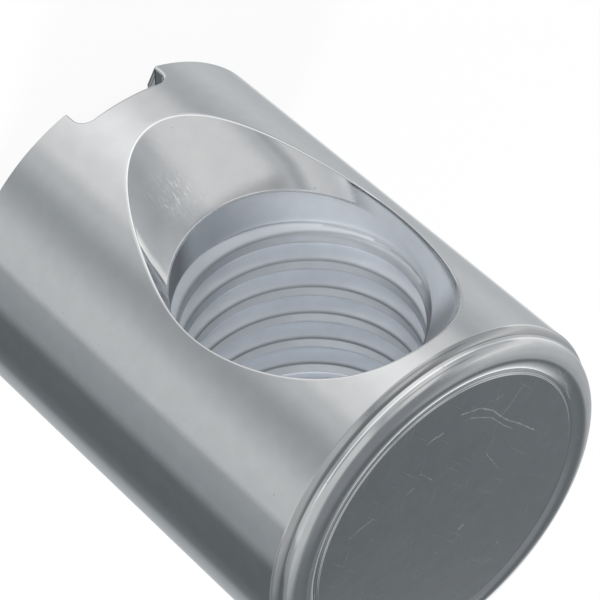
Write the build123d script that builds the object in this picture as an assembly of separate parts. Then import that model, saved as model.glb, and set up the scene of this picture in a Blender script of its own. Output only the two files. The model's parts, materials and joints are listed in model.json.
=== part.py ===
from build123d import *
import math
import os

# Cross dowel nut: a steel barrel that is dropped into a cross hole in a panel and
# takes a furniture bolt through its side. One piece. Millimetres, +Z up.
# The barrel's axis is Z and the slotted end is down, on z = 0. The threaded hole runs
# along Y and its funnel opens towards -Y.

# Driving dimensions: barrel
BARREL_D = 9.8              # for a 10 mm drilled hole
BARREL_L = 13.0             # slotted end to the face of the raised disc
END_BEVEL_WIDTH = 0.8       # flat bevel round the slotted end, measured along the radius
END_BEVEL_RISE = 0.38       # the same bevel, measured along the barrel

# Driving dimensions: the upper end, with its rolled rim and raised disc
RIM_STEP = 0.14             # the rim's crease stands this far inside the barrel's side
RIM_DROP = 0.36             # crease below the disc's face
SHOULDER_DROP = 0.54        # where the barrel's side starts to curve in, below the disc's face
SHOULDER_BULGE = 0.023      # how far that curve stands out from a straight line
RIM_ROUND = 0.31            # radius of the rolled rim
RIM_TURN = 115              # the rim's inner slope starts this many degrees round its section
RIM_TOP = 0.05              # the rim's top stands this far above the disc's face
DISC_D = 7.8
DISC_EDGE = 0.06            # small round on the disc's edge
GROOVE_WIDTH = 0.09         # between the disc and the rim's inner slope
GROOVE_DEPTH = 0.12

# Driving dimensions: the threaded hole
HOLE_HEIGHT = 7.7           # hole's axis above the slotted end
THREAD_MINOR_D = 5.95       # M7, pitch 1: the plain wall that the thread is cut in
MOUTH_D = 6.2               # plain entry between the funnel and the thread
MOUTH_TILT = 10.8           # degrees: the funnel reaches deeper towards the disc
ENTRY_DEPTH = 0.7           # plain entry's length, below the middle of the mouth
FUNNEL_LIP = 0.65           # depth of the funnel at its two sides, where it is shallowest
FUNNEL_FLARE = 0.02         # the funnel is this much wider than its mouth on each side, at the crown
FUNNEL_LENGTH = 9.82        # funnel along the barrel, at the crown
FUNNEL_HEIGHT = 7.14        # the funnel's middle above the slotted end
FUNNEL_FULLNESS = 0.08      # share by which the funnel's oval is fuller than an ellipse on its diagonals
FUNNEL_POINTS = 32          # points that the oval is drawn through
EXIT_BEVEL = 0.2            # bevel on the hole's far mouth

# Driving dimensions: screwdriver slot, along the threaded hole
SLOT_WIDTH = 2.65
SLOT_DEPTH = 1.02
SLOT_CORNER = 0.45          # round in the slot's bottom corners
EDGE_BREAK = 0.1            # broken edges of the slot and of the hole's two mouths

barrel_r = BARREL_D / 2
disc_r = DISC_D / 2
minor_r = THREAD_MINOR_D / 2
mouth_r = MOUTH_D / 2
mouth_y = math.sqrt(barrel_r ** 2 - mouth_r ** 2) - FUNNEL_LIP
mouth_tilt = math.radians(MOUTH_TILT)
overshoot = BARREL_D / 4    # how far a cutting body reaches past what it cuts


def barrel_body():
    """Half section of the barrel, turned about Z."""
    shoulder = (barrel_r, BARREL_L - SHOULDER_DROP)
    crease = (barrel_r - RIM_STEP, BARREL_L - RIM_DROP)
    # rolled rim: an arc that starts at the crease and ends on the rim's inner slope
    rim_centre_z = BARREL_L + RIM_TOP - RIM_ROUND
    start = math.asin((crease[1] - rim_centre_z) / RIM_ROUND)
    rim_centre_r = crease[0] - RIM_ROUND * math.cos(start)
    end = math.radians(RIM_TURN)
    middle = (start + end) / 2

    def on_rim(angle):
        return (rim_centre_r + RIM_ROUND * math.cos(angle), rim_centre_z + RIM_ROUND * math.sin(angle))

    groove_floor = BARREL_L - GROOVE_DEPTH
    disc_corner = DISC_EDGE * (1 - math.sqrt(0.5))
    with BuildSketch(Plane.XZ) as section:
        with BuildLine():
            Polyline(
                (0, BARREL_L),
                (0, 0),
                (barrel_r - END_BEVEL_WIDTH, 0),
                (barrel_r, END_BEVEL_RISE),
                shoulder,
            )
            ThreePointArc(
                shoulder,
                ((shoulder[0] + crease[0]) / 2 + SHOULDER_BULGE, (shoulder[1] + crease[1]) / 2),
                crease,
            )
            ThreePointArc(crease, on_rim(middle), on_rim(end))
            Polyline(
                on_rim(end),
                (disc_r + GROOVE_WIDTH, groove_floor),
                (disc_r, groove_floor),
                (disc_r, BARREL_L - DISC_EDGE),
            )
            ThreePointArc(
                (disc_r, BARREL_L - DISC_EDGE),
                (disc_r - disc_corner, BARREL_L - disc_corner),
                (disc_r - DISC_EDGE, BARREL_L),
            )
            Line((disc_r - DISC_EDGE, BARREL_L), (0, BARREL_L))
        make_face()
    return revolve(section.sketch, Axis.Z)


def mouth_plane():
    """Plane of the tilted mouth, looking out of the hole, with its x across the barrel."""
    outward = (0, -math.cos(mouth_tilt), math.sin(mouth_tilt))
    return Plane(origin=(0, -mouth_y, HOLE_HEIGHT), x_dir=(1, 0, 0), z_dir=outward)


def past_crown(turn):
    """Point where the straight line of the funnel's wall at this turn leaves the barrel's reach."""
    start = Vector(
        mouth_r * math.cos(turn),
        -mouth_y + math.tan(mouth_tilt) * mouth_r * math.sin(turn),
        HOLE_HEIGHT + mouth_r * math.sin(turn),
    )
    fullness = 1 + FUNNEL_FULLNESS * math.sin(2 * turn) ** 2
    crown = Vector(
        (mouth_r + FUNNEL_FLARE) * fullness * math.cos(turn),
        -barrel_r,
        FUNNEL_HEIGHT + FUNNEL_LENGTH / 2 * fullness * math.sin(turn),
    )
    share = (barrel_r + overshoot + start.Y) / (barrel_r + start.Y)
    return start + (crown - start) * share


def funnel_cut():
    """Oval funnel: from the round mouth out past the crown, with straight walls."""
    inner = mouth_plane() * Ellipse(mouth_r, mouth_r / math.cos(mouth_tilt))
    turns = [math.tau * step / FUNNEL_POINTS for step in range(FUNNEL_POINTS)]
    rim = Spline([past_crown(turn) for turn in turns], periodic=True)
    return loft([inner, make_face(rim)])


def hole_cut():
    """Plain hole along Y, with the entry below the funnel and the bevel at the far mouth."""
    plane = Plane(origin=(0, 0, HOLE_HEIGHT), x_dir=(1, 0, 0), z_dir=(0, 1, 0))
    bore = plane * Cylinder(minor_r, BARREL_D + 2 * overshoot)
    floor_y = ENTRY_DEPTH - mouth_y
    top_y = -barrel_r
    entry_plane = Plane(origin=(0, (top_y + floor_y) / 2, HOLE_HEIGHT), z_dir=(0, 1, 0))
    entry = split(entry_plane * Cylinder(mouth_r, floor_y - top_y), mouth_plane(), Keep.BOTTOM)
    lead = mouth_r - minor_r
    lead_plane = Plane(origin=(0, floor_y + lead / 2, HOLE_HEIGHT), z_dir=(0, -1, 0))
    lead_in = lead_plane * Cone(minor_r, mouth_r, lead)
    exit_edge_y = math.sqrt(barrel_r ** 2 - (minor_r + EXIT_BEVEL) ** 2)
    exit_length = EXIT_BEVEL + overshoot
    exit_middle_y = exit_edge_y - EXIT_BEVEL + exit_length / 2
    exit_plane = Plane(origin=(0, exit_middle_y, HOLE_HEIGHT), z_dir=(0, 1, 0))
    exit_cone = exit_plane * Cone(minor_r, minor_r + exit_length, exit_length)
    return bore + entry + lead_in + exit_cone


def slot_cut():
    """Screwdriver slot with round bottom corners, right across the end along Y."""
    height = SLOT_DEPTH + overshoot
    box = Pos(0, 0, SLOT_DEPTH - height / 2) * Box(SLOT_WIDTH, BARREL_D + 2 * overshoot, height)
    corners = box.edges().filter_by(Axis.Y).group_by(Axis.Z)[-1]
    return fillet(corners, SLOT_CORNER)


def lies_on_side(edge):
    """True for an edge that runs over the barrel's round side."""
    points = (edge @ 0.1, edge @ 0.5, edge @ 0.9)
    return all(math.isclose(math.hypot(point.X, point.Y), barrel_r, abs_tol=1e-3) for point in points)


# The hole first, with its two mouths broken where they meet the barrel's side
drilled = barrel_body() - funnel_cut() - hole_cut()
mouths = drilled.edges().filter_by(GeomType.BSPLINE).filter_by(lies_on_side)
drilled = chamfer(mouths, EDGE_BREAK)

# Then the slot, with every edge that it makes rounded
slot = slot_cut()
slotted = drilled - slot
nut = fillet(new_edges(drilled, slot, combined=slotted), EDGE_BREAK)

os.makedirs("parts", exist_ok=True)
export_step(nut, "parts/cross_dowel_nut.step")
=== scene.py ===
import json
import math

import bpy
import numpy as np
from mathutils import Matrix, Vector
from mathutils.kdtree import KDTree


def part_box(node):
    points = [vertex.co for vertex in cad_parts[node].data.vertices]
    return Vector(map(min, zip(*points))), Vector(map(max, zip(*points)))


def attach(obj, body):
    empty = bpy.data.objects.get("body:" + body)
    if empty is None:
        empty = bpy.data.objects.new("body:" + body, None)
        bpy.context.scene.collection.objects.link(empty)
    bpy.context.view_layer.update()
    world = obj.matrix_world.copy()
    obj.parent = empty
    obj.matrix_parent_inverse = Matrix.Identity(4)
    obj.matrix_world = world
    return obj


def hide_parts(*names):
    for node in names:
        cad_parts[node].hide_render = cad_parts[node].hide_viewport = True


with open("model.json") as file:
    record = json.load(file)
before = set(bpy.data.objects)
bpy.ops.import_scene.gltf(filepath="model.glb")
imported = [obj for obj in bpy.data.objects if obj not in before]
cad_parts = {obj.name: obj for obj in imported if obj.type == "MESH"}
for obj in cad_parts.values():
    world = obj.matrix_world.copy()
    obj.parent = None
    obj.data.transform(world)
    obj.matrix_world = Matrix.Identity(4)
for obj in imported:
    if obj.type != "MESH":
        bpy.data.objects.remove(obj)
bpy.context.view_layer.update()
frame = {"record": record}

# Sizes in millimetres, taken from the frame where it has them
MM = 0.001
NODE = "cross_dowel_nut"
low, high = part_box(NODE)
mounts = {mount["name"]: mount for mount in frame["record"]["mounts"]}
BARREL_R = (high.x - low.x) / 2 / MM
BARREL_TOP = mounts["disc_face"]["pos_m"][2] / MM
HOLE_Z = mounts["threaded_hole"]["pos_m"][2] / MM
CREST_R = mounts["threaded_hole"]["dims"]["r_mm"]

# Lower end, with the screwdriver slot along Y
BEVEL_WIDTH = 0.8
BEVEL_RISE = 0.38
END_ROUND = 0.05
SLOT_HALF = 1.325
SLOT_DEPTH = 1.02
SLOT_CORNER = 0.36
SLOT_EDGE = 0.1
BAND_Z = 1.4                # the patches round the cross hole start at this height

# Upper end, with the rolled rim and the raised disc
SHOULDER_DROP = 0.54
SHOULDER_BULGE = 0.023
RIM_STEP = 0.14
RIM_DROP = 0.36
RIM_ROUND = 0.31
RIM_TOP = 0.05
RIM_BEND = 60               # degrees round the rim's section where its wider inner curve takes over
RIM_INNER_ROUND = 0.6
RIM_TURN = 121
DISC_R = 3.9
DISC_EDGE = 0.06
GROOVE_DROP = DISC_EDGE / 3  # the groove's floor at the disc lies this far below the end of the rim
GROOVE_ROUND = 0.03

# Cross hole along Y, with its funnel towards -Y and its thread
MOUTH_R = 3.1
MOUTH_TILT = math.radians(10.8)
MOUTH_ROUND = 0.06
ENTRY_DEPTH = 0.7
FUNNEL_LIP = 0.65
FUNNEL_FLARE = 0.02
FUNNEL_HALF_LENGTH = 4.91
FUNNEL_Z = 7.14
FUNNEL_FULLNESS = 0.08
FUNNEL_EDGE = 0.08
FUNNEL_SWELL = 0.055        # the funnel's wall stands out this much where it turns down to the mouth
FUNNEL_TURN = 0.3           # share of the wall, from the mouth, over which it turns down
BEYOND_CROWN = 3.0          # share of the wall at which it is surely outside the barrel
EXIT_BEVEL = 0.2
EXIT_EDGE = 0.05
PITCH = 0.93
ROOT_R = 3.36
ROOT_HALF = 0.08            # half the flat at the thread's root
FLANK = math.radians(30)
THREAD_SOFT = 0.2           # rounding of crest and root, as a share of the thread's depth
HAND = -1
THREAD_Y = -2.51            # the first root passes the slotted side of the hole here
THREAD_START = -2.85
THREAD_FADE = 0.6           # length over which the thread grows to its full depth
ENTRY_BLEND = 0.1           # softness of the step from the plain entry to the thread
EXIT_BLEND = 0.03

# Finish of the cross hole, kept on the mesh: a share of satin from 0 to 1, and a painted shade that is
# darker above 0 and brighter, as painted light, below it. Turns are angles round the hole, and a spread is
# the angle in radians over which a painted shade comes in.
ENTRY_LIGHT = math.radians(222)  # turn at which the hole is brightest, with the least painted shade
STEEP_FROM = 0.6            # the funnel's lower end is polished up to this sine of the turn, below 0
STEEP_SPAN = 0.4            # the wall turns satin over this much of the sine
OUTER_SHARE = 0.25          # outer share of the funnel's wall over which its finish fades out
# painted shade of the funnel's wall, the entry and the bore, each with the turn from the bright side at
# which it comes in
FUNNEL_SHADE = 0.75
FUNNEL_SHADE_FROM = math.radians(82)
ENTRY_SHADE = 0.8
ENTRY_SHADE_FROM = math.radians(62)
SHADE_SPREAD = 0.3
BORE_SHADE = 0.1
BORE_SHADE_FROM = math.radians(30)
BORE_SHADE_SPREAD = 0.6
MOUTH_SHADE_LENGTH = 1.2    # the entry's painted shade goes on this far over the thread
CREST_LINE_SHADE = 0.55     # painted shade: a dark line at each edge of a crest
CREST_LINE_HALF = 0.045
ROOT_LIGHT = 0.4            # painted light: the root is brighter
# painted shade over the crest
CREST_SHADE = 0.15
CREST_SHADE_SPAN = 0.03
EXIT_SATIN_SPAN = 0.1       # the satin ends over this length on both sides of the exit bevel's start
SHOULDER_SHADE = 0.35       # painted shade on the curve between the barrel's side and the rim

# Mesh density
ACROSS = 96                 # steps along the upper and the lower side of a patch
ALONG = 48                  # steps along its two upright sides
PATCH_ROWS = 18
FUNNEL_ROWS = 16
EDGE_ROWS = 6
# rows over half a turn of the thread, from root to crest, as shares of the pitch
HALF_TURN_ROWS = (0, 0.04, 0.065, 0.086, 0.107, 0.135, 0.205, 0.275, 0.303, 0.325, 0.347, 0.375, 0.5)
SLOT_FLOOR_STEPS = 8
SLOT_CORNER_STEPS = 12
NOTCH_STEPS = SLOT_FLOOR_STEPS + SLOT_CORNER_STEPS
LAND_STEPS = ACROSS - 2 * NOTCH_STEPS
NOTCH_ANGLE = math.radians(18)
BAND_STEPS = 5
FOOT_STEPS = 4
SLOT_EDGE_ROWS = 4
END_STEPS = 3
SHOULDER_STEPS = 6
RIM_STEPS = 9
RIM_INNER_STEPS = 12
DISC_STEPS = 4
HALVINGS = 50
JOIN_DISTANCE = 1e-4        # points of two patches closer than this are one point
NO_LENGTH = 1e-12

mouth_y = math.sqrt(BARREL_R ** 2 - MOUTH_R ** 2) - FUNNEL_LIP
shoulder_z = BARREL_TOP - SHOULDER_DROP
exit_y = math.sqrt(BARREL_R ** 2 - (CREST_R + EXIT_BEVEL) ** 2) - EXIT_BEVEL
flank_span = (ROOT_R - CREST_R) * math.tan(FLANK)
crest_edge = ROOT_HALF + flank_span


class Skin:
    """Grids of points that make one closed mesh. Each point has its normal, its satin and its painted
    shade.
    """

    def __init__(self):
        self.points = []
        self.normals = []
        self.satin = []
        self.shade = []
        self.faces = []
        self.count = 0

    def add(self, points, normals, closed=False, satin=0.0, shade=0.0):
        """points and normals are rows by columns by xyz. closed joins the last column to the first."""
        rows, cols = points.shape[:2]
        index = self.count + np.arange(rows * cols).reshape(rows, cols)
        right = np.roll(index, -1, axis=1) if closed else index[:, 1:]
        left = index if closed else index[:, :-1]
        quads = np.stack([left[:-1], right[:-1], right[1:], left[1:]], axis=-1).reshape(-1, 4)
        flat = points.reshape(-1, 3)
        corners = flat[quads - self.count]
        turn = np.cross(corners[:, 2] - corners[:, 0], corners[:, 3] - corners[:, 1])
        facing = normals.reshape(-1, 3)[quads - self.count].sum(axis=1)
        if (turn * facing).sum() < 0:
            quads = quads[:, ::-1]
        self.points.append(flat)
        self.normals.append(normals.reshape(-1, 3))
        self.satin.append(np.broadcast_to(satin, (rows, cols)).ravel())
        self.shade.append(np.broadcast_to(shade, (rows, cols)).ravel())
        self.faces.append(quads)
        self.count += rows * cols

    def object(self, name):
        """One mesh object, with points that coincide joined and every face corner's normal kept."""
        points = np.concatenate(self.points)
        normals = np.concatenate(self.normals)
        quads = np.concatenate(self.faces)
        tree = KDTree(len(points))
        for i, point in enumerate(points):
            tree.insert(point, i)
        tree.balance()
        same = np.array([min(hit[1] for hit in tree.find_range(point, JOIN_DISTANCE)) for point in points])
        used, compact = np.unique(same, return_inverse=True)
        faces = []
        corner_normals = []
        for quad in quads:
            face = []
            for corner in quad:
                vertex = int(compact[corner])
                if vertex not in face:
                    face.append(vertex)
                    corner_normals.append(normals[corner])
            if len(face) > 2:
                faces.append(face)
            else:
                del corner_normals[len(corner_normals) - len(face):]
        mesh = bpy.data.meshes.new(name)
        mesh.from_pydata((points[used] * MM).tolist(), [], faces)
        mesh.polygons.foreach_set("use_smooth", [True] * len(mesh.polygons))
        mesh.normals_split_custom_set(np.array(corner_normals).tolist())
        # the satin, and the painted shade that darkens or brightens the colour in place of light
        for finish, values in (("satin", self.satin), ("shade", self.shade)):
            attribute = mesh.attributes.new(finish, "FLOAT", "POINT")
            attribute.data.foreach_set("value", np.concatenate(values)[used])
        made = bpy.data.objects.new(name, mesh)
        bpy.context.scene.collection.objects.link(made)
        return made


def unit(vectors):
    return vectors / np.maximum(np.linalg.norm(vectors, axis=-1, keepdims=True), NO_LENGTH)


def sampled(surface, a, b, outward):
    """Points of surface(a, b) and its unit normals, from small steps in a and b. outward is 1 or -1."""
    step = 1e-4
    a, b = np.broadcast_arrays(np.asarray(a, float), np.asarray(b, float))
    along_a = surface(a + step, b) - surface(a - step, b)
    along_b = surface(a, b + step) - surface(a, b - step)
    return surface(a, b), outward * unit(np.cross(along_a, along_b))


def blend(start, end, steps):
    """Rows from start to end, both ends included."""
    share = np.linspace(0, 1, steps + 1).reshape(-1, *([1] * np.ndim(start)))
    return start + (end - start) * share


def edge_strip(first, corner, last, first_normals, last_normals, rows, closed):
    """A rounded edge from one surface's line to another's, bent round the sharp corner between them."""
    share = np.linspace(0, 1, rows + 1)[:, None, None]
    points = (1 - share) ** 2 * first + 2 * share * (1 - share) * corner + share ** 2 * last
    over = 2 * (1 - share) * (corner - first) + 2 * share * (last - corner)
    if closed:
        wide = np.concatenate([points[:, -1:], points, points[:, :1]], axis=1)
        along = np.gradient(wide, axis=1)[:, 1:-1]
    else:
        along = np.gradient(points, axis=1)
    normals = unit(np.cross(over, along))
    if (normals[0] * first_normals).sum() < 0:
        normals = -normals
    normals[0] = first_normals
    normals[-1] = last_normals
    return points, normals


# Outline of a patch on one half of the barrel, unrolled: angle from the hole's side, and height
ring_angles = np.concatenate([
    np.linspace(0, NOTCH_ANGLE, NOTCH_STEPS + 1)[:-1],
    np.linspace(NOTCH_ANGLE, math.pi / 2, LAND_STEPS // 2 + 1),
])
ring_angles = np.concatenate([-ring_angles[:0:-1], ring_angles])
patch_angle = np.concatenate([
    np.full(ALONG, math.pi / 2),
    np.linspace(math.pi / 2, -math.pi / 2, ACROSS + 1)[:-1],
    np.full(ALONG, -math.pi / 2),
    ring_angles[:-1],
])
patch_z = np.concatenate([
    np.linspace(BAND_Z, shoulder_z, ALONG + 1)[:-1],
    np.full(ACROSS, shoulder_z),
    np.linspace(shoulder_z, BAND_Z, ALONG + 1)[:-1],
    np.full(ACROSS, BAND_Z),
])
theta = np.arctan2(patch_z - (BAND_Z + shoulder_z) / 2, BARREL_R * patch_angle)


def on_side(angle, z, side):
    """Point of the barrel's round side. side is -1 for the funnel's half and 1 for the other."""
    return np.stack([BARREL_R * np.sin(angle), side * BARREL_R * np.cos(angle), z + 0 * angle], axis=-1)


def side_normals(points):
    return unit(points * np.array([1.0, 1.0, 0.0]))


def mouth_at(turn):
    """Y of the tilted mouth, where the funnel meets the plain entry of the hole."""
    return -mouth_y + math.tan(MOUTH_TILT) * MOUTH_R * np.sin(turn)


def funnel(t, turn):
    """Funnel's wall: t is 0 at the mouth and 1 at the barrel's crown."""
    cos, sin = np.cos(turn), np.sin(turn)
    fullness = 1 + FUNNEL_FULLNESS * np.sin(2 * turn) ** 2
    mouth = np.stack([MOUTH_R * cos, mouth_at(turn), HOLE_Z + MOUTH_R * sin], axis=-1)
    crown = np.stack([
        (MOUTH_R + FUNNEL_FLARE) * fullness * cos,
        -BARREL_R + 0 * turn,
        FUNNEL_Z + FUNNEL_HALF_LENGTH * fullness * sin,
    ], axis=-1)
    t = np.asarray(t)[..., None]
    swell = FUNNEL_SWELL * (1 - t - np.maximum(1 - t / FUNNEL_TURN, 0) ** 2)
    return mouth + (crown - mouth) * t - np.array([0.0, 1.0, 0.0]) * swell


def first_crossing(wall, turn, start, end):
    """Where wall(t, turn) leaves the barrel, by halving the interval."""
    inside = np.full(turn.shape, start)
    outside = np.full(turn.shape, end)
    for _ in range(HALVINGS):
        middle = (inside + outside) / 2
        point = wall(middle, turn)
        beyond = point[..., 0] ** 2 + point[..., 1] ** 2 > BARREL_R ** 2
        outside = np.where(beyond, middle, outside)
        inside = np.where(beyond, inside, middle)
    return inside


def soft_max(a, b, width):
    return np.maximum(a, b) + np.maximum(width - np.abs(a - b), 0) ** 2 / (4 * width)


def smooth(share):
    share = np.clip(share, 0, 1)
    return share * share * (3 - 2 * share)


def from_thread_root(y, turn):
    phase = (y - THREAD_Y) / PITCH + HAND * (turn + math.pi / 2) / (2 * math.pi)
    return np.abs(phase - np.round(phase)) * PITCH


def bore_radius(y, turn):
    """Radius of the hole: plain entry, threaded wall and the bevel at the exit."""
    height = (from_thread_root(y, turn) - ROOT_HALF) / flank_span
    height = soft_max(height, 0.0 * height, THREAD_SOFT)
    height = 1 - soft_max(1 - height, 0.0 * height, THREAD_SOFT)
    cut = smooth((y - THREAD_START) / THREAD_FADE)
    cut = cut * smooth((y - mouth_at(turn) - MOUTH_ROUND) / THREAD_FADE)
    cut = cut * smooth((exit_y - y) / (2 * THREAD_FADE))
    wall = CREST_R + (ROOT_R - CREST_R) * (1 - height) * cut
    entry = MOUTH_R - np.maximum(y - ENTRY_DEPTH + mouth_y, 0)
    leave = CREST_R + y - exit_y
    return soft_max(soft_max(wall, entry, ENTRY_BLEND), leave, EXIT_BLEND)


def bore(y, turn):
    radius = bore_radius(y, turn)
    return np.stack([radius * np.cos(turn), y + 0 * turn, HOLE_Z + radius * np.sin(turn)], axis=-1)


def patch(skin, corner, edge_width, last, last_normals, side):
    """Rounded edge where the hole leaves the barrel, and the barrel's side round it."""
    corner_angle = np.arctan2(corner[:, 0], side * corner[:, 1])
    reach = np.stack([BARREL_R * (patch_angle - corner_angle), patch_z - corner[:, 2]], axis=-1)
    away = unit(reach) * edge_width
    outer_angle = corner_angle + away[:, 0] / BARREL_R
    outer_z = corner[:, 2] + away[:, 1]
    first = on_side(outer_angle, outer_z, side)
    points, normals = edge_strip(first, corner, last, side_normals(first), last_normals, EDGE_ROWS, True)
    skin.add(points, normals, closed=True)
    angle = blend(outer_angle, patch_angle, PATCH_ROWS)
    z = blend(outer_z, patch_z, PATCH_ROWS)
    points = on_side(angle, z, side)
    skin.add(points, side_normals(points), closed=True)


def away_from_light(turn):
    """Angle round the hole from its brightest side, where the painted shade is least."""
    return np.abs((turn - ENTRY_LIGHT + math.pi) % (2 * math.pi) - math.pi)


def ring(row):
    """The row with its first value again at the end."""
    return np.append(row, row[0])


def hole(skin):
    """Both patches round the cross hole, the funnel, the entry, the thread and the exit."""
    # funnel's edge on the barrel
    edge_t = first_crossing(funnel, theta, 0.0, BEYOND_CROWN)
    corner = funnel(edge_t, theta)
    ruling = np.linalg.norm(funnel(1 + 0 * theta, theta) - funnel(0 * theta, theta), axis=-1)
    outer_t = edge_t - FUNNEL_EDGE / ruling
    last, last_normals = sampled(funnel, outer_t, theta, 1)
    patch(skin, corner, FUNNEL_EDGE, last, last_normals, -1)

    # funnel's wall
    inner_t = MOUTH_ROUND / ruling
    t = blend(inner_t, outer_t, FUNNEL_ROWS)
    points, normals = sampled(funnel, t, theta[None, :], 1)
    from_light = away_from_light(theta)
    steep = smooth((np.sin(theta) + STEEP_FROM) / STEEP_SPAN)
    # painted shade on the funnel's wall, darker away from the hole's bright side
    painted_funnel_shade = FUNNEL_SHADE * smooth((from_light - FUNNEL_SHADE_FROM) / SHADE_SPREAD) * steep
    inside = smooth(np.linspace(1, 0, FUNNEL_ROWS + 1) / OUTER_SHARE)[:, None]
    skin.add(points, normals, closed=True, satin=steep * inside, shade=painted_funnel_shade * inside)

    # the rounded edge between the funnel and the entry
    start_y = mouth_at(theta) + MOUTH_ROUND
    last, last_normals = sampled(bore, start_y, theta, -1)
    corner = funnel(0 * theta, theta)
    points, normals = edge_strip(points[0], corner, last, normals[0], last_normals, EDGE_ROWS, True)
    inward = np.linspace(0, 1, EDGE_ROWS + 1)[:, None]
    skin.add(points, normals, closed=True, satin=steep * (1 - inward) + inward)

    # exit's edge on the barrel
    edge_y = first_crossing(bore, theta, exit_y, BARREL_R + 1)
    corner = bore(edge_y, theta)
    end_y = edge_y - EXIT_EDGE
    last, last_normals = sampled(bore, end_y, theta, -1)
    patch(skin, corner, EXIT_EDGE, last, last_normals, 1)

    # threaded wall, in rows that follow the thread
    around = np.unwrap(theta)
    around = np.append(around, around[0] + 2 * math.pi)
    half = np.array(HALF_TURN_ROWS)
    one_turn = np.concatenate([half[:-1], 1 - half[:0:-1]])
    first_turn = math.floor((-BARREL_R - THREAD_Y) / PITCH) - 2
    last_turn = math.ceil((BARREL_R - THREAD_Y) / PITCH) + 2
    rows = (np.arange(first_turn, last_turn)[:, None] + one_turn).ravel()
    lead = HAND * PITCH * (around + math.pi / 2) / (2 * math.pi)
    y = THREAD_Y + PITCH * rows[:, None] - lead[None, :]
    y = np.clip(y, ring(start_y), ring(end_y))
    used = (y > y.min(axis=0)).any(axis=1) & (y < y.max(axis=0)).any(axis=1)
    first, final = np.flatnonzero(used)[[0, -1]]
    y = y[first - 1:final + 2]
    points, normals = sampled(bore, y, around[None, :], -1)

    # its painted shade and light: dark lines along the crests, brighter roots, and darker away from the
    # bright side
    from_root = from_thread_root(y, around[None, :])
    painted_crest_line = smooth(1 - np.abs(from_root - crest_edge) / CREST_LINE_HALF)
    shade = CREST_LINE_SHADE * painted_crest_line - ROOT_LIGHT * smooth(1 - from_root / crest_edge)
    shade = shade + CREST_SHADE * smooth((from_root - crest_edge) / CREST_SHADE_SPAN)
    threaded = smooth((y - THREAD_START) / THREAD_FADE)
    from_light = away_from_light(around)
    beside_mouth = 1 - smooth((y - ring(start_y)) / MOUTH_SHADE_LENGTH)
    in_entry = np.maximum(1 - threaded, beside_mouth)
    painted_entry_shade = ENTRY_SHADE * smooth((from_light - ENTRY_SHADE_FROM) / SHADE_SPREAD)
    painted_bore_shade = BORE_SHADE * smooth((from_light - BORE_SHADE_FROM) / BORE_SHADE_SPREAD)
    shade = shade * threaded + painted_entry_shade * in_entry + painted_bore_shade
    shade = shade * smooth((exit_y - y) / THREAD_FADE)
    satin = smooth((exit_y + EXIT_SATIN_SPAN - y) / (2 * EXIT_SATIN_SPAN))
    skin.add(points, normals, satin=satin, shade=shade)


def rounded(corners, steps):
    """A section line through (r, z, round) corners, with the material on its left.

    It is given as rows of (r, z, normal r, normal z).
    """
    line = [np.array(corner[:2], float) for corner in corners]
    rounds = [corner[2] for corner in corners]
    rows = []
    for i, here in enumerate(line):
        if i == 0 or i == len(line) - 1:
            other = line[1] if i == 0 else line[-2]
            heading = unit(other - here) if i == 0 else unit(here - other)
            rows.append((*here, heading[1], -heading[0]))
            continue
        before = unit(here - line[i - 1])
        after = unit(line[i + 1] - here)
        turn = math.atan2(before[0] * after[1] - before[1] * after[0], before @ after)
        if not rounds[i]:
            rows.append((*here, before[1], -before[0]))
            rows.append((*here, after[1], -after[0]))
            continue
        tangent = rounds[i] * math.tan(abs(turn) / 2)
        start = here - before * tangent
        heading = math.atan2(before[1], before[0])
        sign = math.copysign(1, turn)
        centre = start + sign * rounds[i] * np.array([-before[1], before[0]])
        for share in np.linspace(0, 1, steps + 1):
            way = heading + turn * share
            normal = np.array([math.sin(way), -math.cos(way)])
            rows.append((*(centre + sign * rounds[i] * normal), *normal))
    return np.array(rows)


def arc_rows(centre, radius, start, end, steps, sign=1):
    """Rows of (r, z, normal r, normal z) on an arc, angles in radians. sign is -1 for a hollow one."""
    angle = np.linspace(start, end, steps + 1)
    out = np.stack([np.cos(angle), np.sin(angle)], axis=-1)
    return np.concatenate([np.array(centre) + radius * out, sign * out], axis=-1)


def turned(skin, rows, shade=0.0):
    """The section rows turned about Z, with the ring's even steps, and a painted shade if one is given."""
    angle = np.arange(2 * ACROSS) * math.pi / ACROSS
    cos, sin = np.cos(angle)[None, :], np.sin(angle)[None, :]
    r, z, normal_r, normal_z = (rows[:, i, None] for i in range(4))
    points = np.stack([r * cos, r * sin, z + 0 * cos], axis=-1)
    normals = np.stack([normal_r * cos, normal_r * sin, normal_z + 0 * cos], axis=-1)
    skin.add(points, normals, closed=True, shade=shade)


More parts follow.
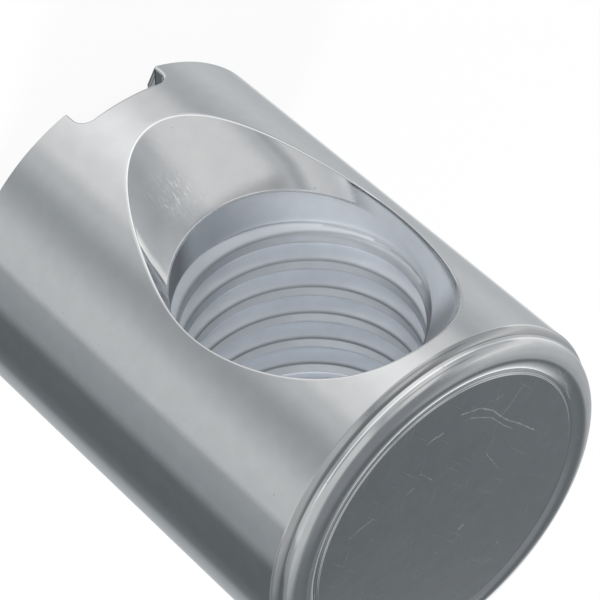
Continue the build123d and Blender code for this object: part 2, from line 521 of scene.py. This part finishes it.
def upper_end(skin):
    """Shoulder, crease, rolled rim, groove and raised disc."""
    shoulder = np.array([BARREL_R, shoulder_z])
    crease = np.array([BARREL_R - RIM_STEP, BARREL_TOP - RIM_DROP])
    chord = crease - shoulder
    half = np.linalg.norm(chord) / 2
    bulge_r = (half ** 2 + SHOULDER_BULGE ** 2) / (2 * SHOULDER_BULGE)
    left = unit(np.array([-chord[1], chord[0]]))
    centre = (shoulder + crease) / 2 + left * (bulge_r - SHOULDER_BULGE)
    start = math.atan2(*(shoulder - centre)[::-1])
    end = math.atan2(*(crease - centre)[::-1])
    # the shoulder carries a painted shade
    turned(skin, arc_rows(centre, bulge_r, start, end, SHOULDER_STEPS), SHOULDER_SHADE)

    bend = math.radians(RIM_BEND)
    drop = (RIM_INNER_ROUND - RIM_ROUND) * math.sin(bend) - RIM_INNER_ROUND
    rim_z = BARREL_TOP + RIM_TOP + drop
    start = math.asin((crease[1] - rim_z) / RIM_ROUND)
    rim_r = crease[0] - RIM_ROUND * math.cos(start)
    outer = arc_rows((rim_r, rim_z), RIM_ROUND, start, bend, RIM_STEPS)
    at_bend = np.array([math.cos(bend), math.sin(bend)])
    inner_centre = np.array([rim_r, rim_z]) - (RIM_INNER_ROUND - RIM_ROUND) * at_bend
    inner = arc_rows(inner_centre, RIM_INNER_ROUND, bend, math.radians(RIM_TURN), RIM_INNER_STEPS)
    turned(skin, np.concatenate([outer, inner[1:]]))
    section = rounded([
        (inner[-1, 0], inner[-1, 1], 0),
        (DISC_R, inner[-1, 1] - GROOVE_DROP, GROOVE_ROUND),
        (DISC_R, BARREL_TOP, DISC_EDGE / 2),
        (DISC_R - 2 * DISC_EDGE, BARREL_TOP, 0),
        (DISC_R / 2, BARREL_TOP, 0),
        (0, BARREL_TOP, 0),
    ], DISC_STEPS)
    turned(skin, section)


def lower_end(skin):
    """Bevel, end faces and the screwdriver slot."""
    grow = SLOT_HALF + SLOT_EDGE
    foot_r = BARREL_R - BEVEL_WIDTH
    corner_top = SLOT_DEPTH - SLOT_CORNER

    # section of the land from the slot's corner down, over the bevel and onto the end
    section = rounded([
        (BARREL_R, corner_top, 0),
        (BARREL_R, BEVEL_RISE, END_ROUND),
        (foot_r, 0, END_ROUND),
        (foot_r - 2 * END_ROUND, 0, 0),
    ], END_STEPS)
    section[:, 2:] *= -1
    outer = section[:-1]
    foot = outer[-1, 0]

    # slot's section, from the middle of its floor to the corner's lower end
    floor_x = np.linspace(0, SLOT_HALF - SLOT_CORNER, SLOT_FLOOR_STEPS + 1)[:-1]
    corner_angle = np.linspace(math.pi / 2, 0, SLOT_CORNER_STEPS + 1)
    slot_x = np.concatenate([floor_x, SLOT_HALF - SLOT_CORNER + SLOT_CORNER * np.cos(corner_angle)])
    slot_z = np.concatenate([SLOT_DEPTH + 0 * floor_x, corner_top + SLOT_CORNER * np.sin(corner_angle)])
    out_x = np.concatenate([0 * floor_x, np.cos(corner_angle)])
    out_z = np.concatenate([1 + 0 * floor_x, np.sin(corner_angle)])

    # line on the outer surface that the slot's rounded edge starts from, up to the foot of the bevel
    line_x = np.concatenate([slot_x + SLOT_EDGE * out_x, np.full(len(outer) - 1, grow)])
    line_z = np.concatenate([slot_z + SLOT_EDGE * out_z, outer[1:, 1]])
    line_r = np.concatenate([np.full(len(slot_x), BARREL_R), outer[1:, 0]])
    line_y = np.sqrt(line_r ** 2 - line_x ** 2)
    # the sharp edge itself
    sharp_x = np.concatenate([slot_x, np.full(len(outer) - 1, SLOT_HALF)])
    sharp_z = np.concatenate([slot_z, outer[1:, 1]])
    sharp_y = np.sqrt(line_r ** 2 - sharp_x ** 2)
    # section length along the slot's surface, measured from the middle of its floor
    way = np.concatenate([[0], np.cumsum(np.hypot(np.diff(sharp_x), np.diff(sharp_z)))])
    surface_out_x = np.concatenate([out_x, np.ones(len(outer) - 1)])
    surface_out_z = np.concatenate([out_z, np.zeros(len(outer) - 1)])

    # share of the way along Y, from -1 to 1, of the columns of the land
    foot_start = math.asin(grow / foot)
    foot_angles = np.linspace(foot_start, math.pi - foot_start, LAND_STEPS + 1)
    shares = -np.cos(foot_angles) / math.cos(foot_start)

    # the edge's line on the slot's surface, moved in by the edge's width where the outline turns too
    outline = np.stack([way, sharp_y], axis=-1)
    before = unit(np.diff(outline, axis=0))
    first_way = np.concatenate([[[1.0, 0.0]], before])
    next_way = np.concatenate([before, [[0.0, -1.0]]])
    in_a = np.stack([first_way[:, 1], -first_way[:, 0]], axis=-1)
    in_b = np.stack([next_way[:, 1], -next_way[:, 0]], axis=-1)
    shift = SLOT_EDGE * (in_a + in_b) / (1 + (in_a * in_b).sum(axis=-1, keepdims=True))
    inner_line = outline + shift
    inner_line[0, 0] = 0
    inner_x = np.interp(inner_line[:, 0], way, sharp_x)
    inner_z = np.interp(inner_line[:, 0], way, sharp_z)
    corner_part = (inner_line[:, 0] > way[SLOT_FLOOR_STEPS]) & (inner_line[:, 0] < way[NOTCH_STEPS])
    turn = math.pi / 2 - (inner_line[:, 0] - way[SLOT_FLOOR_STEPS]) / SLOT_CORNER
    inner_x = np.where(corner_part, SLOT_HALF - SLOT_CORNER + SLOT_CORNER * np.cos(turn), inner_x)
    inner_z = np.where(corner_part, corner_top + SLOT_CORNER * np.sin(turn), inner_z)
    inner_y = inner_line[:, 1]

    def loop(x, y, z, chord_x, chord_z):
        """The line on one notch, the line along the end, and the line on the other notch."""
        near = np.stack([x, -y, z], axis=-1)
        far = np.stack([x, y, z], axis=-1)[::-1]
        middle = np.stack([0 * shares + chord_x, y[-1] * shares, 0 * shares + chord_z], axis=-1)
        return np.concatenate([near[:-1], middle, far[1:]])

    for flip_x in (1, -1):
        mirror = np.array([flip_x, 1.0, 1.0])
        for side in (-1, 1):
            # band between the ring and the slot's round top, on the barrel's side
            top_angle = ring_angles[ACROSS // 2:ACROSS // 2 + NOTCH_STEPS + 1]
            notch_angle = np.arcsin(line_x[:NOTCH_STEPS + 1] / BARREL_R)
            angle = blend(top_angle, notch_angle, BAND_STEPS)
            z = blend(0 * top_angle + BAND_Z, line_z[:NOTCH_STEPS + 1], BAND_STEPS)
            points = on_side(angle, z, side) * mirror
            skin.add(points, side_normals(points))

        # land: the band beside the slot, the side, the bevel, and the flat end up to the slot
        left_angle = np.concatenate([
            np.linspace(NOTCH_ANGLE, math.asin(grow / BARREL_R), BAND_STEPS + 1)[:-1],
            np.arcsin(grow / outer[:, 0]),
        ])
        row_r = np.concatenate([np.full(BAND_STEPS, BARREL_R), outer[:, 0]])
        row_z = np.concatenate([np.linspace(BAND_Z, corner_top, BAND_STEPS + 1)[:-1], outer[:, 1]])
        normal_r = np.concatenate([np.ones(BAND_STEPS), outer[:, 2]])
        normal_z = np.concatenate([np.zeros(BAND_STEPS), outer[:, 3]])
        share = np.linspace(0, 1, LAND_STEPS + 1)[None, :]
        angle = left_angle[:, None] + (math.pi - 2 * left_angle[:, None]) * share
        points = np.stack([
            row_r[:, None] * np.sin(angle),
            -row_r[:, None] * np.cos(angle),
            row_z[:, None] + 0 * angle,
        ], axis=-1)
        normals = np.stack([
            normal_r[:, None] * np.sin(angle),
            -normal_r[:, None] * np.cos(angle),
            normal_z[:, None] + 0 * angle,
        ], axis=-1)
        skin.add(points * mirror, normals * mirror)
        chord = np.stack([0 * shares + grow, line_y[-1] * shares, 0 * shares], axis=-1)
        points = blend(points[-1], chord, FOOT_STEPS)
        down = np.zeros_like(points)
        down[..., 2] = -1
        skin.add(points * mirror, down)

        # the slot's rounded edge, right round this half of the slot
        first = loop(line_x, line_y, line_z, grow, 0.0)
        sharp = loop(sharp_x, sharp_y, sharp_z, SLOT_HALF, 0.0)
        last = loop(inner_x, inner_y, inner_z, SLOT_HALF, inner_z[-1])
        outer_r = np.concatenate([np.ones(NOTCH_STEPS + 1), outer[1:, 2]])
        outer_z = np.concatenate([np.zeros(NOTCH_STEPS + 1), outer[1:, 3]])
        flat_r = outer_r * line_x / line_r
        flat_y = outer_r * line_y / line_r
        first_normals = loop(flat_r, flat_y, outer_z, 0.0, -1.0)
        first_normals[len(line_x) - 1:len(line_x) - 1 + len(shares)] = (0, 0, -1)
        last_normals = loop(-surface_out_x, 0 * line_y, -surface_out_z, -1.0, 0.0)
        points, normals = edge_strip(
            first * mirror, sharp * mirror, last * mirror,
            first_normals * mirror, last_normals * mirror, SLOT_EDGE_ROWS, False,
        )
        skin.add(points, normals)

        # the slot's own surface
        columns = np.stack([inner_x, inner_z], axis=-1)
        points = np.stack([
            columns[None, :, 0] + 0 * shares[:, None],
            inner_y[None, :] * shares[:, None],
            columns[None, :, 1] + 0 * shares[:, None],
        ], axis=-1)
        normals = np.stack([
            -surface_out_x[None, :] + 0 * shares[:, None],
            0 * points[..., 0],
            -surface_out_z[None, :] + 0 * shares[:, None],
        ], axis=-1)
        skin.add(points * mirror, normals * mirror)


skin = Skin()
hole(skin)
upper_end(skin)
lower_end(skin)
nut = skin.object("cross_dowel_nut_surface")
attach(nut, "root")
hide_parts(NODE)


class Tree:
    """Short names for the nodes of one material or world."""

    def __init__(self, owner):
        owner.use_nodes = True
        self.nodes = owner.node_tree.nodes
        self.links = owner.node_tree.links

    def fill(self, socket, value):
        if isinstance(value, bpy.types.NodeSocket):
            self.links.new(value, socket)
        else:
            socket.default_value = value

    def math(self, operation, *values):
        node = self.nodes.new("ShaderNodeMath")
        node.operation = operation
        for socket, value in zip(node.inputs, values):
            self.fill(socket, value)
        return node.outputs[0]

    def vector(self, operation, *values, output=0, scale=None):
        node = self.nodes.new("ShaderNodeVectorMath")
        node.operation = operation
        for socket, value in zip(node.inputs, values):
            self.fill(socket, value)
        if scale is not None:
            self.fill(node.inputs["Scale"], scale)
        return node.outputs[output]

    def range(self, value, start, end, to_start=0.0, to_end=1.0, kind="SMOOTHSTEP"):
        node = self.nodes.new("ShaderNodeMapRange")
        node.interpolation_type = kind
        names = ("Value", "From Min", "From Max", "To Min", "To Max")
        for name, number in zip(names, (value, start, end, to_start, to_end)):
            self.fill(node.inputs[name], number)
        return node.outputs["Result"]

    def mix(self, factor, first, second):
        node = self.nodes.new("ShaderNodeMix")
        node.data_type = "RGBA"
        self.fill(node.inputs["Factor"], factor)
        self.fill(node.inputs["A"], first)
        self.fill(node.inputs["B"], second)
        return node.outputs["Result"]

    def noise(self, where, scale, detail, stretch=(1, 1, 1), output="Fac"):
        node = self.nodes.new("ShaderNodeTexNoise")
        node.inputs["Scale"].default_value = scale
        node.inputs["Detail"].default_value = detail
        self.fill(node.inputs["Vector"], self.vector("MULTIPLY", where, stretch))
        return node.outputs[output]

    def attribute(self, name):
        node = self.nodes.new("ShaderNodeAttribute")
        node.attribute_name = name
        return node.outputs["Fac"]


# Material: bright zinc plating, polished outside and satin in the hole, with painted shade and light from
# the mesh on its colour
POLISHED = (0.565, 0.57, 0.575, 1)
SATIN = (0.70, 0.73, 0.77, 1)
POLISHED_ROUGHNESS = 0.07
SATIN_ROUGHNESS = 0.4
SCRATCHED_ROUGHNESS = 0.6
SATIN_METALLIC = 0.6
DARKEST = 0.75              # a painted shade of 1 takes this share off the colour

# Scratches on the raised disc and its rim, as lines of (x, y) in millimetres, with their half width
DISC_SCRATCHES = (
    (0.030, (
        (-0.41, -3.12), (-0.90, -2.91), (-1.34, -2.57), (-1.69, -2.11), (-2.24, -1.48), (-2.70, -0.94),
    )),
    (0.022, ((-0.66, -2.78), (-1.34, -2.32), (-1.99, -1.48))),
    (0.016, ((-2.35, -2.77), (-1.84, -2.31), (-1.59, -2.18))),
    (0.022, ((-1.45, -2.86), (-1.66, -2.91))),
    (0.022, ((-3.39, -2.63), (-3.68, -1.81), (-3.87, -1.19))),
    (0.016, ((-3.84, -2.49), (-3.41, -2.20))),
    (0.035, ((0.64, -2.80), (0.37, -2.87))),
    (0.025, ((0.34, -2.85), (0.16, -2.89))),
    (0.030, ((-0.36, 0.94), (-0.51, 0.87))),
    (0.022, ((1.30, -1.56), (1.08, -1.61))),
    (0.012, ((0.85, -1.95), (0.45, -1.45))),
    (0.012, ((-1.16, -1.18), (-1.55, -0.36))),
    (0.014, ((2.94, -1.27), (2.28, -1.47))),
)
SCRATCH_CORE = 0.3          # share of its half width over which a scratch is at its full strength
TOP_FADE = (0.1, 0.05)      # the marks come in between these two depths below the disc's face

# Noise scales are per millimetre, and a stretch is a scale for each axis. A range is where the noise
# starts to count and where it counts in full, with what it then runs from and to where that isn't 0 to 1.
WAVER_SCALE = 0.9
WAVER = 0.2                 # full width of the scratches' wandering
BREAK_SCALE = 5
BREAK_RANGE = (0.35, 0.6, 0.45, 0.8)
HAIRLINES = (               # direction in degrees and stretch
    (20, (30, 0.8, 0.8)),
    (75, (38, 1.2, 1.2)),
    (140, (26, 0.6, 0.6)),
)
HAIRLINE_RANGE = (0.6, 0.82)
STREAK_STRETCH = (14, 14, 0.5)
STREAK_RANGE = (0.55, 0.8)
SCUFF = (0.8, -3.99, 3.83)  # middle of the scuffed patch in the funnel
SCUFF_REACH = (0.95, 0.1)
SCUFF_STRETCH = (26, 5, 5)
SCUFF_RANGE = (0.52, 0.68)
SPECK_SCALE = 7
SPECK_RANGE = (0.76, 0.8)
CLOUD_SCALE = 0.9
CLOUD_RANGE = (0.3, 0.7, -0.02, 0.03)
MOTTLE_SCALE = 2.2
MOTTLE_RANGE = (0.3, 0.7, 0.97, 1.02)

# How much each kind of wear roughens and brightens the metal
HAIRLINE_WEAR = 0.5
SCUFF_WEAR = 0.3
SPECK_WEAR = 0.7
STREAK_ROUGHNESS = 0.05
WORN = (0.95, 0.96, 0.97, 1)
SCUFF_BRIGHT = 0.6
MARK_BRIGHT = 0.2

# Waviness of the plating
RIPPLE_SCALE = 5
RIPPLE_STRENGTH = 0.25
RIPPLE_HEIGHT = 0.002
STREAK_HEIGHT = 0.6         # heights of the streaks and of the scratches, as shares of the ripple's
MARK_DEPTH = 0.8

metal = bpy.data.materials.new("zinc_steel")
tree = Tree(metal)
shader = tree.nodes["Principled BSDF"]
coordinates = tree.nodes.new("ShaderNodeTexCoord")
place = tree.vector("SCALE", coordinates.outputs["Object"], scale=1 / MM)
satin = tree.attribute("satin")
shade = tree.attribute("shade")


def segment(start, end, half_width):
    """1 on the line from start to end in the disc's plane, and 0 beyond its half width."""
    along = (end[0] - start[0], end[1] - start[1], 0)
    length = along[0] ** 2 + along[1] ** 2
    from_start = tree.vector("SUBTRACT", flat_place, (start[0], start[1], 0))
    share = tree.math("MULTIPLY", tree.vector("DOT_PRODUCT", from_start, along, output="Value"), 1 / length)
    share = tree.range(share, 0, 1, kind="LINEAR")
    nearest = tree.vector("SCALE", along, scale=share)
    distance = tree.vector("DISTANCE", from_start, nearest, output="Value")
    return tree.range(distance, half_width, SCRATCH_CORE * half_width)


# the scratches waver a little and are broken here and there
waver = tree.noise(place, WAVER_SCALE, detail=1, output="Color")
shift = tree.vector("MULTIPLY_ADD", waver, (WAVER, WAVER, 0), (-WAVER / 2, -WAVER / 2, 0))
flat_place = tree.vector("MULTIPLY", tree.vector("ADD", place, shift), (1, 1, 0))
marks = None
for half_width, line in DISC_SCRATCHES:
    for start, end in zip(line, line[1:]):
        mark = segment(start, end, half_width)
        marks = mark if marks is None else tree.math("MAXIMUM", marks, mark)
height = tree.nodes.new("ShaderNodeSeparateXYZ")
tree.links.new(place, height.inputs[0])
on_top = tree.range(height.outputs["Z"], *(BARREL_TOP - below for below in TOP_FADE))
broken = tree.range(tree.noise(place, BREAK_SCALE, detail=1), *BREAK_RANGE)
marks = tree.math("MULTIPLY", tree.math("MULTIPLY", marks, on_top), broken)

# faint hairlines, in three directions on the disc and along the barrel
hairlines = None
for angle, stretch in HAIRLINES:
    turned_place = tree.nodes.new("ShaderNodeVectorRotate")
    turned_place.rotation_type = "Z_AXIS"
    turned_place.inputs["Angle"].default_value = math.radians(angle)
    tree.links.new(flat_place, turned_place.inputs["Vector"])
    grain = tree.noise(turned_place.outputs[0], scale=1, detail=1, stretch=stretch)
    line = tree.range(grain, *HAIRLINE_RANGE)
    hairlines = line if hairlines is None else tree.math("MAXIMUM", hairlines, line)
hairlines = tree.math("MULTIPLY", hairlines, on_top)
drawn = tree.noise(place, scale=1, detail=2, stretch=STREAK_STRETCH)
streaks = tree.range(drawn, *STREAK_RANGE)

# scuffed patch in the funnel and a few bright specks all over
reach = tree.vector("DISTANCE", place, SCUFF, output="Value")
inside = tree.range(reach, *SCUFF_REACH)
grain = tree.noise(place, scale=1, detail=3, stretch=SCUFF_STRETCH)
lines = tree.range(grain, *SCUFF_RANGE)
scuff = tree.math("MULTIPLY", inside, lines)
speckle = tree.range(tree.noise(place, SPECK_SCALE, detail=1), *SPECK_RANGE)

wear = tree.math("MAXIMUM", marks, tree.math("MULTIPLY", hairlines, HAIRLINE_WEAR))
wear = tree.math("MAXIMUM", wear, tree.math("MULTIPLY", scuff, SCUFF_WEAR))
wear = tree.math("MAXIMUM", wear, tree.math("MULTIPLY", speckle, SPECK_WEAR))
cloud = tree.range(tree.noise(place, CLOUD_SCALE, detail=1), *CLOUD_RANGE, kind="LINEAR")
finish = tree.range(satin, 0, 1, POLISHED_ROUGHNESS, SATIN_ROUGHNESS, kind="LINEAR")
finish = tree.math("ADD", finish, cloud)
finish = tree.math("ADD", finish, tree.math("MULTIPLY", streaks, STREAK_ROUGHNESS))
roughness = tree.math("MAXIMUM", finish, tree.math("MULTIPLY", wear, SCRATCHED_ROUGHNESS))
tree.links.new(roughness, shader.inputs["Roughness"])

colour = tree.mix(satin, POLISHED, SATIN)
scuff_bright = tree.math("MULTIPLY", scuff, SCUFF_BRIGHT)
bright = tree.math("MAXIMUM", scuff_bright, tree.math("MULTIPLY", marks, MARK_BRIGHT))
colour = tree.mix(bright, colour, WORN)
mottle = tree.range(tree.noise(place, MOTTLE_SCALE, detail=2), *MOTTLE_RANGE, kind="LINEAR")
# painted shade and light from the mesh darken or brighten the colour, together with the plating's mottle
painted_darkness = tree.math("MULTIPLY_ADD", shade, -DARKEST, 1)
level = tree.math("MULTIPLY", mottle, painted_darkness)
tree.links.new(tree.vector("SCALE", colour, scale=level), shader.inputs["Base Color"])
tree.links.new(tree.range(satin, 0, 1, 1, SATIN_METALLIC, kind="LINEAR"), shader.inputs["Metallic"])

# waviness of the plating, with the streaks and the scratches
bump = tree.nodes.new("ShaderNodeBump")
bump.inputs["Strength"].default_value = RIPPLE_STRENGTH
bump.inputs["Distance"].default_value = RIPPLE_HEIGHT * MM
ripple = tree.noise(place, RIPPLE_SCALE, detail=2)
ripple = tree.math("ADD", ripple, tree.math("MULTIPLY", drawn, STREAK_HEIGHT))
ripple = tree.math("SUBTRACT", ripple, tree.math("MULTIPLY", marks, MARK_DEPTH))
tree.links.new(ripple, bump.inputs["Height"])
tree.links.new(bump.outputs["Normal"], shader.inputs["Normal"])
nut.data.materials.append(metal)

# Camera, fitted to the photograph: its place in metres and its three axes
FOCAL_PX = 3096.5
FRAME_PX = 600
CAMERA_PLACE = (0.03158, -0.05514, 0.04825)
CAMERA_RIGHT = Vector((-0.774, 0.0236, 0.6327))
CAMERA_DOWN = Vector((0.4636, 0.7016, 0.5411))
CAMERA_AHEAD = Vector((-0.4312, 0.7122, -0.554))
camera_data = bpy.data.cameras.new("camera")
camera = bpy.data.objects.new("camera", camera_data)
bpy.context.scene.collection.objects.link(camera)
camera_data.sensor_width = 36
camera_data.lens = FOCAL_PX / FRAME_PX * camera_data.sensor_width
camera_data.clip_start = 0.001
camera_data.clip_end = 100
spin = Matrix((CAMERA_RIGHT, -CAMERA_DOWN, -CAMERA_AHEAD)).transposed()
camera.matrix_world = Matrix.Translation(CAMERA_PLACE) @ spin.to_4x4()
bpy.context.scene.camera = camera

# Stage: a plain pale floor that keeps a faint shadow
FLOOR_WHITE = 0.93          # share of plain white that the camera sees in the floor; the rest is lit
FLOOR_COLOUR = (0.9, 0.9, 0.9, 1)
FLOOR_HALF = 2.0
floor_mesh = bpy.data.meshes.new("floor")
floor_corners = [(x * FLOOR_HALF, y * FLOOR_HALF, 0) for x, y in ((-1, -1), (1, -1), (1, 1), (-1, 1))]
floor_mesh.from_pydata(floor_corners, [], [(0, 1, 2, 3)])
floor = bpy.data.objects.new("floor", floor_mesh)
bpy.context.scene.collection.objects.link(floor)
floor.visible_glossy = False
pale = bpy.data.materials.new("pale_floor")
tree = Tree(pale)
lit = tree.nodes["Principled BSDF"]
lit.inputs["Base Color"].default_value = FLOOR_COLOUR
lit.inputs["Roughness"].default_value = 1
lit.inputs["Specular IOR Level"].default_value = 0
white = tree.nodes.new("ShaderNodeEmission")
white.inputs["Color"].default_value = (1, 1, 1, 1)
path = tree.nodes.new("ShaderNodeLightPath")
blend_shaders = tree.nodes.new("ShaderNodeMixShader")
seen_white = tree.math("MULTIPLY", path.outputs["Is Camera Ray"], FLOOR_WHITE)
tree.links.new(seen_white, blend_shaders.inputs["Fac"])
tree.links.new(lit.outputs[0], blend_shaders.inputs[1])
tree.links.new(white.outputs[0], blend_shaders.inputs[2])
tree.links.new(blend_shaders.outputs[0], tree.nodes["Material Output"].inputs["Surface"])
floor_mesh.materials.append(pale)

# World: a pale tent round the nut, whose brightness depends on the direction alone. Each stop is
# (azimuth in degrees, brightness), and azimuth 0 is towards -Y and 90 towards +X. The three sets are
# for below the horizon, at the horizon and above it.
BELOW = (
    (-180, 0.50), (-160, 0.55), (-140, 0.90), (-128, 0.60), (-90, 0.80), (-62, 0.66), (-40, 0.98),
    (-12, 1.34), (20, 1.05), (32, 0.78), (50, 0.52), (80, 0.82), (95, 0.80), (101, 0.50),
    (118, 0.44), (130, 0.20), (152, 0.185), (163, 0.22), (176, 0.46), (180, 0.50),
)
LEVEL = (
    (-180, 0.50), (-150, 0.62), (-128, 0.60), (-90, 1.05), (-80, 1.15), (-71, 0.72), (-42, 0.59),
    (-31, 0.70), (-24, 1.05), (0, 0.80), (16, 0.76), (34, 0.55), (50, 0.56), (66, 0.84),
    (92, 0.95), (104, 0.58), (122, 0.43), (165, 0.40), (180, 0.50),
)
ABOVE = (
    (-180, 0.25), (-150, 0.215), (-147, 0.24), (-138, 0.56), (-117, 0.72), (-95, 0.88), (-84, 1.10),
    (-58, 0.72), (-42, 0.64), (-34, 0.74), (-26, 1.02), (-9, 1.00), (6, 0.74), (15, 0.60),
    (30, 0.92), (68, 0.82), (104, 0.80), (128, 0.60), (149, 0.36), (160, 0.25), (180, 0.25),
)
OVERHEAD = 0.35

# Rises are heights of the direction's unit vector. Between the two rises of a pair, one set of stops
# gives way to the next.
BELOW_TO_LEVEL = (-0.40, -0.10)
LEVEL_TO_ABOVE = (0.08, 0.18)
ABOVE_TO_OVERHEAD = (0.72, 0.95)

# The gap, the strip light and the glow, each with its brightness and its windows. A window's four
# numbers are where it starts, where it is full, up to where, and where it ends, as azimuths or rises.
GAP = 0.62                  # brightness that is left in the gap above the front panel
GAP_AZIMUTHS = (-60, -40, -4, 10)
GAP_RISES = (0.28, 0.40, 0.46, 0.54)
STRIP_LIGHT = 0.7           # a narrow strip light in front, just below the horizon, added to the tent
STRIP_AZIMUTHS = (-52, -44, 60, 80)
STRIP_RISES = (-0.32, -0.28, -0.14, -0.09)
SIDE_STRIP = 0.3            # the same light where it goes on round the side
SIDE_AZIMUTHS = (-125, -110, -52, -44)
BACK_GLOW = 1.05            # low light behind the nut
GLOW_AZIMUTHS = (-179, -166, -154, -146)
GLOW_FOOT = (-0.25, -0.1)   # rises between which the glow comes in
GLOW_TOP = (0.5, 0)         # rises between which it goes down to its full strength
BLUE = 0.11                 # how blue the tent is where it is dark
BLUE_LIFT = 0.7             # share of it that is added to blue, where all of it is taken from red

world = bpy.data.worlds.new("studio")
bpy.context.scene.world = world
tree = Tree(world)
where = tree.nodes.new("ShaderNodeTexCoord")
axes = tree.nodes.new("ShaderNodeSeparateXYZ")
tree.links.new(where.outputs["Generated"], axes.inputs[0])
azimuth = tree.math("ARCTAN2", axes.outputs["X"], tree.math("MULTIPLY", axes.outputs["Y"], -1))
around = tree.math("MULTIPLY_ADD", azimuth, 1 / math.tau, 0.5)
rise = axes.outputs["Z"]


def tent(levels):
    """Colour by azimuth, slightly blue where it is dim."""
    ramp = tree.nodes.new("ShaderNodeValToRGB")
    ramp.color_ramp.interpolation = "EASE"
    stops = ramp.color_ramp.elements
    while len(stops) < len(levels):
        stops.new(0.5)
    for stop, (degrees, level) in zip(stops, levels):
        stop.position = degrees / 360 + 0.5
        blue = max(0, 1 - level) * BLUE
        stop.color = (level * (1 - blue), level, level * (1 + BLUE_LIFT * blue), 1)
    tree.links.new(around, ramp.inputs["Fac"])
    return ramp.outputs["Color"]


def window(value, edges):
    """1 inside the window of four rising edges, and 0 outside it."""
    start, full, full_to, end = edges
    return tree.math("MULTIPLY", tree.range(value, start, full), tree.range(value, end, full_to))


def azimuth_window(degrees):
    return window(azimuth, [math.radians(edge) for edge in degrees])


walls = tree.mix(tree.range(rise, *BELOW_TO_LEVEL), tent(BELOW), tent(LEVEL))
walls = tree.mix(tree.range(rise, *LEVEL_TO_ABOVE), walls, tent(ABOVE))
gap = tree.math("MULTIPLY", window(rise, GAP_RISES), azimuth_window(GAP_AZIMUTHS))
walls = tree.vector("SCALE", walls, scale=tree.math("MULTIPLY_ADD", gap, GAP - 1, 1))
beside_nut = tree.math("MULTIPLY", azimuth_window(SIDE_AZIMUTHS), SIDE_STRIP)
strip = tree.math("MULTIPLY_ADD", azimuth_window(STRIP_AZIMUTHS), STRIP_LIGHT, beside_nut)
strip = tree.math("MULTIPLY", window(rise, STRIP_RISES), strip)
low_down = tree.math("MULTIPLY", tree.range(rise, *GLOW_FOOT), tree.range(rise, *GLOW_TOP, kind="LINEAR"))
glow = tree.math("MULTIPLY", tree.math("MULTIPLY", azimuth_window(GLOW_AZIMUTHS), low_down), BACK_GLOW)
walls = tree.vector("MULTIPLY_ADD", tree.math("ADD", strip, glow), (1, 1, 1), walls)
overhead = (OVERHEAD * (1 - BLUE / 2), OVERHEAD, OVERHEAD * (1 + BLUE / 2), 1)
studio = tree.mix(tree.range(rise, *ABOVE_TO_OVERHEAD), walls, overhead)
path = tree.nodes.new("ShaderNodeLightPath")
background = tree.mix(path.outputs["Is Camera Ray"], studio, (1, 1, 1, 1))
tree.links.new(background, tree.nodes["Background"].inputs["Color"])


# Soft lamps that look at the nut and light the floor and the satin hole: name, azimuth and elevation
# in degrees, and power in watts
LAMPS = (
    ("key", 72, 8, 1.15),
    ("back", 150, 28, 1.7),
)
LAMP_DISTANCE = 0.4
LAMP_SIZE = 0.12
target = Vector((0, 0, BARREL_TOP / 2 * MM))
for name, lamp_azimuth, elevation, power in LAMPS:
    light = bpy.data.lights.new(name, "AREA")
    light.shape = "DISK"
    light.size = LAMP_SIZE
    light.energy = power
    lamp = bpy.data.objects.new(name, light)
    lamp.visible_glossy = False
    bpy.context.scene.collection.objects.link(lamp)
    turn, lift = math.radians(lamp_azimuth), math.radians(elevation)
    away = Vector((math.sin(turn) * math.cos(lift), -math.cos(turn) * math.cos(lift), math.sin(lift)))
    lamp.location = target + away * LAMP_DISTANCE
    lamp.rotation_euler = (-away).to_track_quat("-Z", "Y").to_euler()

bpy.context.scene.view_settings.view_transform = "Standard"
